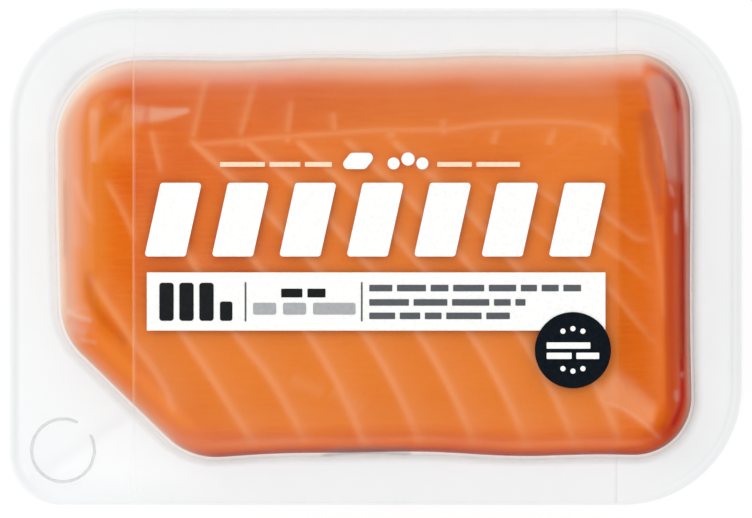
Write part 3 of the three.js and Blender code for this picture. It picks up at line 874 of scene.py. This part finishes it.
def label_band():
    """A thin closed shell of label film from the upper rim over the pack to the lower rim."""
    edge = TRAY_EDGE - TRAY_FACING * LABEL_INSET
    inner = skin_rings(LABEL[0], edge, False)[::-1]
    both = inner + skin_rings(LABEL[1], edge, True)
    rings = []
    for ring, _ in both:
        to_rim = PACK_WIDTH / 2 - np.abs(ring[:, 1])
        drop = LABEL_DROP * smoothstep(FILM_INSET - 0.1, FILM_INSET - 0.9, to_rim)
        rings.append(lifted(ring, -drop))
    _, band = lofted("label_skin", rings, *[(0, 0, crown_height(0, 0) + offset) for offset in LABEL])
    outer = np.append(np.repeat(np.arange(len(rings)) >= len(inner), len(LOIN_EDGE)), (0, 1))
    put_attribute(band, "outer", outer)
    insets = np.concatenate([inset for _, inset in both])
    put_attribute(band, "over", np.append(smoothstep(-0.5, 0.5, insets), (1, 1)))
    put_attribute(band, "gloss", outer * np.append(side_gloss(insets), (1, 1)))
    cut = bmesh.new()
    cut.from_mesh(band.data)
    for side in (-1, 1):
        made = divided(cut, (side * LABEL_HALF_LENGTH * MM, 0, 0), (side, 0, 0), clear_outer=True)
        rims = [item for item in made if isinstance(item, bmesh.types.BMEdge)]
        bmesh.ops.holes_fill(cut, edges=rims, sides=0)
    cut.to_mesh(band.data)
    cut.free()
    places = np.zeros(len(band.data.vertices) * 3)
    band.data.vertices.foreach_get("co", places)
    x = places[::3] / MM
    outer, over = np.zeros((2, len(x)))
    band.data.attributes["outer"].data.foreach_get("value", outer)
    band.data.attributes["over"].data.foreach_get("value", over)
    # Painted highlight on the left cut edge and painted shade beside the right one.
    left = np.exp(-(((x + LABEL_HALF_LENGTH) / LABEL_EDGE_WIDTH) ** 2))
    right = np.exp(-(((x - LABEL_HALF_LENGTH) / LABEL_EDGE_WIDTH) ** 2))
    edge_highlight = np.interp(over, (0, 1), (LABEL_EDGE_HIGHLIGHT, LABEL_EDGE_HIGHLIGHT_OVER_LOIN))
    put_attribute(band, "milk_and_painted_highlight", outer * (LABEL_HAZE + edge_highlight * left))
    put_attribute(band, "tint_and_painted_shade", outer * LABEL_EDGE_SHADE * right * (1 - over))
    put_attribute(band, "warm", left * over)
    band.data.materials.append(film_material("label_film", (1, 0.6, 0.3, 1), 0.12, 1.12, 6, 0.15))
    return belongs(band, "label_film", "label_band")


# The tray sheet.

TRAY_HAZE = 0.06
# Painted shade on the sheet's rim, by the distance from its edge, for the angles that the edge faces.
PAINTED_RIM_SHADE = {
    0: ((0, 0.1), (0.35, 0.15), (0.7, 0.17), (1.05, 0.12), (1.6, 0.19), (1.95, 0.1), (2.5, 0.06),
        (5.5, 0.03)),
    45: ((0, 0.1), (0.7, 0.16), (1.05, 0.13), (1.6, 0.18), (1.95, 0.14), (5.5, 0.15)),
    90: ((0, 0.06), (0.35, 0.12), (0.7, 0.19), (1.05, 0.15), (1.35, 0.2), (1.6, 0.22), (1.95, 0.15),
         (2.5, 0.1), (5.5, 0.05)),
    135: ((0, 0.05), (0.7, 0.15), (1.05, 0.17), (1.6, 0.14), (1.95, 0.11), (5.5, 0.1)),
    180: ((0, 0.03), (0.7, 0.17), (1.05, 0.2), (1.35, 0.17), (1.6, 0.1), (1.95, 0.05), (5.5, 0.04)),
    226: ((0, 0.03), (0.7, 0.15), (1.35, 0.14), (1.95, 0.07), (5.5, 0.08)),
    270: ((0, 0.08), (0.35, 0.12), (0.7, 0.08), (5.5, 0)),
    315: ((0, 0.1), (0.35, 0.15), (1.05, 0.1), (1.6, 0.14), (1.95, 0.1), (5.5, 0.11)),
}


def tray_sheet():
    """The sheet under the loin, with rounded edges and a thinner rim outside the seal."""
    levels = [(-3, 0), (-EDGE_ROUNDING, 0), (-EDGE_ROUNDING / 3, EDGE_ROUNDING / 3), (0, EDGE_ROUNDING)]
    levels += [(outward, RIM_THICKNESS - height) for outward, height in levels[:0:-1]]
    levels += [(-inward, RIM_THICKNESS) for inward in (0.35, 0.7, 1.05, RIM_WIDTH - RIM_SLOPE)]
    levels += [(-inward, TRAY_THICKNESS) for inward in (RIM_WIDTH, 1.6, 1.95, 2.5, RIM_WIDTH + 4)]
    rings = [raised(TRAY_EDGE + TRAY_FACING * outward, height) for outward, height in levels]
    outward, height = np.repeat(levels, len(TRAY_EDGE), axis=0).T
    top = height > TRAY_THICKNESS / 3
    # Painted shade along the rim, by the way each edge faces.
    tint_and_painted_shade = by_side(-outward, degrees(TRAY_FACING), PAINTED_RIM_SHADE) * top
    _, tray = lofted("tray_sheet", rings, (0, 0, 0), (0, 0, TRAY_THICKNESS))
    put_attribute(tray, "milk_and_painted_highlight", np.append(TRAY_HAZE * top, (0, TRAY_HAZE)))
    put_attribute(tray, "tint_and_painted_shade", np.append(tint_and_painted_shade, (0, 0)))
    tray.data.materials.append(tray_material())
    return belongs(tray, "clear_tray", "tray")


# The print on the label: plain blocks, bars and dots, each kind between two heights over the loin.

PRINT_LOWER = 1.03
INK = (PRINT_LOWER, 1.1)
PANEL_INK = (PRINT_LOWER, 1.22)
ON_PANEL_INK = (1.2, 1.26)
SEAL_INK = (1.2, 1.34)
ON_SEAL_INK = (1.32, 1.37)

PANEL_X = (-36.6, 36.8)
PANEL_Y = (-11.85, -2.55)
HEADING_X = (-37.0, 36.9)
HEADING_Y = (0.0, 11.8)
HEADING_BLOCKS = 7
HEADING_GAP = 4.2
HEADING_SLANT = 2.6
SEAL_PLACE = (31.6, -15)
SEAL_RADIUS = 6.1

# Lines of words: left and right end, middle, height, and the seed for the lengths of the words.
SMALL_PRINT = ((-24.9, -7.0, 14.75, 0.75, 4), (9.9, 24.9, 14.75, 0.75, 7))
TEXT_LINES = ((-1.0, 32.9, -5.05, 1.05, 20), (-1.0, 24.0, -7.35, 1.05, 21), (-1.0, 21.5, -9.5, 1.05, 22))
WORD_LENGTHS = (2.2, 7.5)
WORD_SPACE = 0.75

# Blocks and bars: left, bottom, right, top and the corners' radius. Discs: place and radius.
SMALL_BLOB = (-6, 14, -1.6, 16.6, 0.8)
SMALL_BLOB_SLANT = 2
SMALL_DISCS = ((2.9, 14.9, 0.95), (5.2, 15.6, 1.05), (7.5, 14.9, 0.95))
WEIGHT_BARS = (
    (-34.6, -10.3, -32.3, -4.2, 0.5),
    (-31.4, -10.3, -29.1, -4.2, 0.5),
    (-28.2, -10.3, -25.9, -4.2, 0.5),
    (-24.9, -10.3, -22.9, -7.2, 0.4),
    (-15.1, -6.55, -11.7, -5.15, 0.1),
    (-10.9, -6.55, -8.0, -5.15, 0.1),
)
DIVIDERS = ((-20.94, -10.4, -20.66, -4.1, 0.05), (-2.34, -10.4, -2.06, -4.1, 0.05))
DATE_BARS = ((-19.6, -9.3, -15.9, -7.4, 0.3), (-14.8, -9.3, -11.1, -7.4, 0.3), (-10, -9.3, -3.2, -7.4, 0.3))
# On the seal, from its middle: the places of the dots, and lines of words.
SEAL_DOTS = ((-1.6, 3.05), (0, 3.45), (1.6, 3.05), (-1.6, -2.95), (0, -3.35), (1.6, -2.95))
SEAL_DOT_RADIUS = 0.42
SEAL_LINES = ((-4.2, 4.2, 0.75, 1.0, 31), (-4.2, 4.2, -0.9, 1.0, 35))


def slanted_plan(left, bottom, right, top, radius, slant, step=0.2):
    places = ((right + slant, top), (left + slant, top), (left, bottom), (right, bottom))
    return rounded_outline([(*place, radius) for place in places], step)[0]


def box_plan(left, bottom, right, top, radius):
    return slanted_plan(left, bottom, right, top, radius, 0, 0.12)


def disc_plan(x, y, radius, points=40):
    angles = np.linspace(0, 2 * math.pi, points, endpoint=False)
    return np.column_stack([x + radius * np.cos(angles), y + radius * np.sin(angles)])


def word_bars(left, right, middle, height, seed):
    """Plans of a line of plain bars as long as words, with word spaces between them."""
    dice = np.random.default_rng(seed)
    plans = []
    while right - left > 2 * WORD_SPACE:
        end = min(left + dice.uniform(*WORD_LENGTHS), right)
        plans.append(box_plan(left, middle - height / 2, end, middle + height / 2, 0.1))
        left = end + WORD_SPACE
    return plans


def printed(name, plans, layer, material, material_slot, *nodes):
    """Flat thin pieces of the given plans, bent to lie on the label over the crown."""
    work = bmesh.new()
    for plan in plans:
        work.faces.new([work.verts.new((x, y, 0)) for x, y in plan])
    low = np.min([plan.min(axis=0) for plan in plans], axis=0)
    high = np.max([plan.max(axis=0) for plan in plans], axis=0)
    for axis, normal in enumerate(((1, 0, 0), (0, 1, 0))):
        for place in np.arange(math.ceil(low[axis] / PRINT_STEP), high[axis] / PRINT_STEP) * PRINT_STEP:
            divided(work, [place * part for part in normal], normal)
    under = work.verts[:]
    made = bmesh.ops.extrude_face_region(work, geom=work.faces[:], use_keep_orig=True)
    over = [item for item in made["geom"] if isinstance(item, bmesh.types.BMVert)]
    for vertices, offset in ((under, layer[0]), (over, layer[1])):
        for vertex in vertices:
            vertex.co.z = crown_height(vertex.co.x, vertex.co.y) + offset
    for vertex in work.verts:
        vertex.co *= MM
    bmesh.ops.recalc_face_normals(work, faces=work.faces[:])
    mesh = bpy.data.meshes.new(name)
    work.to_mesh(mesh)
    work.free()
    mesh.materials.append(material)
    return belongs(placed(name, mesh), material_slot, *nodes)


def prints():
    """The white panel, the dark disc, and the plain blocks, bars and dots that stand for words."""
    white = ink_material("white_ink", (0.9, 0.9, 0.88, 1), 0.42)
    soft_white = ink_material("soft_white_ink", shown(244, 214, 186), 0.45)
    black = ink_material("black_ink", shown(24, 26, 28), 0.42)
    grey = ink_material("grey_ink", shown(86, 90, 94), 0.45)
    pale_grey = ink_material("pale_grey_ink", shown(166, 168, 170), 0.45)
    navy = ink_material("navy_ink", shown(5, 15, 22), 0.38)

    panel = box_plan(PANEL_X[0], PANEL_Y[0], PANEL_X[1], PANEL_Y[1], 0.1)
    printed("white_panel", [panel], PANEL_INK, white, "white_print", "weight_panel")

    pitch = (HEADING_X[1] - HEADING_X[0] - HEADING_SLANT + HEADING_GAP) / HEADING_BLOCKS
    blocks = []
    for index in range(HEADING_BLOCKS):
        left = HEADING_X[0] + index * pitch
        right = left + pitch - HEADING_GAP
        blocks.append(slanted_plan(left, HEADING_Y[0], right, HEADING_Y[1], 0.5, HEADING_SLANT))
    printed("heading_blocks", blocks, INK, white, "white_print")

    small = [bar for line in SMALL_PRINT for bar in word_bars(*line)]
    printed("small_print_bars", small, INK, soft_white, "white_print")
    marks = [disc_plan(*disc) for disc in SMALL_DISCS] + [slanted_plan(*SMALL_BLOB, SMALL_BLOB_SLANT)]
    printed("small_marks", marks, INK, white, "white_print")

    printed("weight_bars", [box_plan(*bar) for bar in WEIGHT_BARS], ON_PANEL_INK, black, "dark_print")
    text = [box_plan(*bar) for bar in DIVIDERS] + [bar for line in TEXT_LINES for bar in word_bars(*line)]
    printed("text_bars", text, ON_PANEL_INK, grey, "dark_print")
    printed("date_bars", [box_plan(*bar) for bar in DATE_BARS], ON_PANEL_INK, pale_grey, "dark_print")

    disc = disc_plan(*SEAL_PLACE, SEAL_RADIUS, 120)
    printed("dark_disc", [disc], SEAL_INK, navy, "dark_print", "round_seal")
    x, y = SEAL_PLACE
    inside = [disc_plan(x + across, y + up, SEAL_DOT_RADIUS, 20) for across, up in SEAL_DOTS]
    for left, right, middle, height, seed in SEAL_LINES:
        inside += word_bars(x + left, x + right, y + middle, height, seed)
    printed("seal_marks", inside, ON_SEAL_INK, white, "white_print")


# The studio: floor, light and camera.

VIEW_WIDTH = 121.06
VIEW_CENTRE = (0.08, -0.4)
LENS = 900
SENSOR = 36
FLOOR_GAP = 0.05
FLOOR_SIZE = 4000
FLOOR_GLOW = 0.69
LAMP_PLACE = (-420, 330, 760)
LAMP_SIZE = 500
LAMP_RADIANCE = 0.8


def floor():
    """A plain pale floor just under the pack, which glows a little so that it shows as white."""
    half = FLOOR_SIZE / 2
    quarters = ((-1, -1), (1, -1), (1, 1), (-1, 1))
    corners = [(x * half * MM, y * half * MM, -FLOOR_GAP * MM) for x, y in quarters]
    mesh = bpy.data.meshes.new("floor")
    mesh.from_pydata(corners, [], [(0, 1, 2, 3)])
    material, tree = new_material("floor")
    mottle = ranged(tree, noise(tree, 40), 0.3, 0.7, 0, 1)
    tone = blend(tree, mottle, (0.35, 0.35, 0.35, 1), (0.34, 0.34, 0.34, 1))
    plain = node(tree, "BsdfDiffuse", {"Color": tone})
    lit = node(tree, "Emission", {"Color": (1, 1, 1, 1), "Strength": FLOOR_GLOW})
    finish_material(tree, node(tree, "AddShader", {0: plain.outputs[0], 1: lit.outputs[0]}))
    material.cycles.emission_sampling = "NONE"
    mesh.materials.append(material)
    placed("floor", mesh)


def sky():
    """A pale dome, brighter on the upper left, with a darker opening straight above as in a studio."""
    world = bpy.data.worlds.new("studio")
    bpy.context.scene.world = world
    world.use_nodes = True
    tree = world.node_tree
    tree.nodes.clear()
    way = node(tree, "SeparateXYZ", {0: node(tree, "TexCoord").outputs["Generated"]})
    x, y, z = way.outputs
    side = maths(tree, "ADD", maths(tree, "MULTIPLY", x, -0.7), maths(tree, "MULTIPLY", y, 0.7))
    lit = ranged(tree, side, -1, 1, 1, 1.3)
    high = ranged(tree, z, 0, 0.5, 1.2, 0.95)
    opening = maths(tree, "MULTIPLY", high, ranged(tree, z, 0.93, 0.975, 1, 0.05))
    strength = maths(tree, "MULTIPLY", lit, opening)
    light = node(tree, "Background", {"Color": (1, 1, 1, 1), "Strength": strength})
    output = tree.nodes.new("ShaderNodeOutputWorld")
    tree.links.new(light.outputs[0], output.inputs["Surface"])


def lamp():
    """A soft square lamp on the upper left that faces the pack and isn't seen itself."""
    data = bpy.data.lights.new("key", "AREA")
    data.size = LAMP_SIZE * MM
    data.energy = LAMP_RADIANCE * math.pi * data.size**2
    thing = placed("key", data)
    thing.location = [part * MM for part in LAMP_PLACE]
    thing.rotation_mode = "QUATERNION"
    thing.rotation_quaternion = thing.location.to_track_quat("Z", "Y")
    thing.visible_camera = False


def camera():
    """A camera straight over the pack, far away behind a long lens."""
    data = bpy.data.cameras.new("camera")
    data.lens = LENS
    data.sensor_width = SENSOR
    height = TRAY_THICKNESS + VIEW_WIDTH * LENS / SENSOR
    data.clip_start = 0.1
    data.clip_end = 2 * height * MM
    thing = placed("camera", data)
    thing.location = (VIEW_CENTRE[0] * MM, VIEW_CENTRE[1] * MM, height * MM)
    bpy.context.scene.camera = thing


camera()
tray_sheet()
salmon_loin()
cover_film()
peel_ring()
label_band()
prints()
floor()
sky()
lamp()

scene = bpy.context.scene
scene.view_settings.view_transform = "Standard"
scene.cycles.max_bounces = 6
scene.cycles.diffuse_bounces = 2
scene.cycles.glossy_bounces = 2
scene.cycles.transparent_max_bounces = 24
